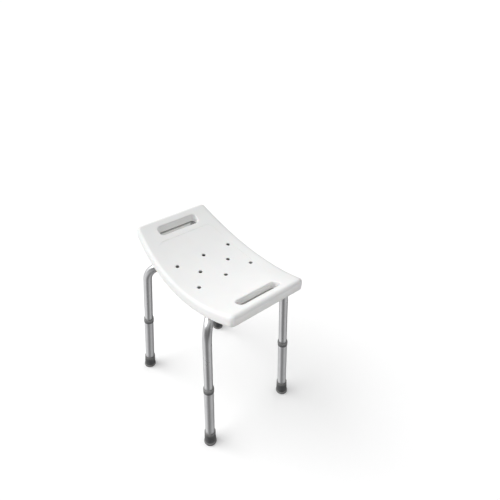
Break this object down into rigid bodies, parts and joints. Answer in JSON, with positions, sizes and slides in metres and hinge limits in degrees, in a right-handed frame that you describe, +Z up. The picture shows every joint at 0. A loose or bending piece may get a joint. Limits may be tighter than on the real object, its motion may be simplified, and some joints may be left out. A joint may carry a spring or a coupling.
{
  "type": "shower stool",
  "caption": "Height-adjustable shower stool: white saddle-curved plastic seat with hand slots and drain holes on bent aluminium tube frames with sliding lower legs and rubber feet.",
  "frame": {"origin": "on the floor under the middle of the seat, centred between the four feet", "axes": "+Z up; X along the seat's long side, +X towards the end nearest the camera in the picture; Y across the seat, along the cross tubes"},
  "size_m": [0.472, 0.3434, 0.5649],
  "materials": {
    "seat_plastic": "smooth moulded, slight sheen",
    "frame_aluminium": "satin anodised",
    "leg_aluminium": "satin anodised",
    "collar_plastic": "moulded",
    "foot_rubber": "matt",
    "button_steel": "plated",
    "spring_steel": "rolled",
    "screw_steel": "zinc plated",
    "saddle_plastic": "moulded",
    "insert_brass": "turned"
  },
  "bodies": {
    "stool": {"seat": "seat_plastic", "frame_front": "frame_aluminium", "frame_back": "frame_aluminium", "frame_screws": "screw_steel", "frame_saddles": "saddle_plastic", "seat_inserts": "insert_brass", "spring_fr_near": "spring_steel", "spring_fr_far": "spring_steel", "spring_bk_near": "spring_steel", "spring_bk_far": "spring_steel"},
    "leg_fr_near": {"tube_fr_near": "leg_aluminium", "collar_fr_near": "collar_plastic", "foot_fr_near": "foot_rubber"},
    "leg_fr_far": {"tube_fr_far": "leg_aluminium", "collar_fr_far": "collar_plastic", "foot_fr_far": "foot_rubber"},
    "leg_bk_near": {"tube_bk_near": "leg_aluminium", "collar_bk_near": "collar_plastic", "foot_bk_near": "foot_rubber"},
    "leg_bk_far": {"tube_bk_far": "leg_aluminium", "collar_bk_far": "collar_plastic", "foot_bk_far": "foot_rubber"},
    "push_fr_near": {"button_fr_near": "button_steel"},
    "push_fr_far": {"button_fr_far": "button_steel"},
    "push_bk_near": {"button_bk_near": "button_steel"},
    "push_bk_far": {"button_bk_far": "button_steel"}
  },
  "joints": [
    {"name": "fr_near_height", "type": "slide", "parent": "stool", "child": "leg_fr_near", "axis": [0.0749, -0.0349, -0.9966], "range_m": [-0.075, 0.075]},
    {"name": "fr_far_height", "type": "slide", "parent": "stool", "child": "leg_fr_far", "axis": [0.0749, 0.0349, -0.9966], "range_m": [-0.075, 0.075]},
    {"name": "bk_near_height", "type": "slide", "parent": "stool", "child": "leg_bk_near", "axis": [-0.0749, -0.0349, -0.9966], "range_m": [-0.075, 0.075]},
    {"name": "bk_far_height", "type": "slide", "parent": "stool", "child": "leg_bk_far", "axis": [-0.0749, 0.0349, -0.9966], "range_m": [-0.075, 0.075]},
    {"name": "fr_near_press", "type": "slide", "parent": "stool", "child": "push_fr_near", "axis": [0.9972, 0, 0.075], "range_m": [0, 0.0045], "stiffness_N_per_m": 2000, "springref_m": -0.002, "deforming": ["spring_fr_near"]},
    {"name": "fr_far_press", "type": "slide", "parent": "stool", "child": "push_fr_far", "axis": [0.9972, 0, 0.075], "range_m": [0, 0.0045], "stiffness_N_per_m": 2000, "springref_m": -0.002, "deforming": ["spring_fr_far"]},
    {"name": "bk_near_press", "type": "slide", "parent": "stool", "child": "push_bk_near", "axis": [0.9972, 0, -0.075], "range_m": [0, 0.0045], "stiffness_N_per_m": 2000, "springref_m": -0.002, "deforming": ["spring_bk_near"]},
    {"name": "bk_far_press", "type": "slide", "parent": "stool", "child": "push_bk_far", "axis": [0.9972, 0, -0.075], "range_m": [0, 0.0045], "stiffness_N_per_m": 2000, "springref_m": -0.002, "deforming": ["spring_bk_far"]}
  ]
}
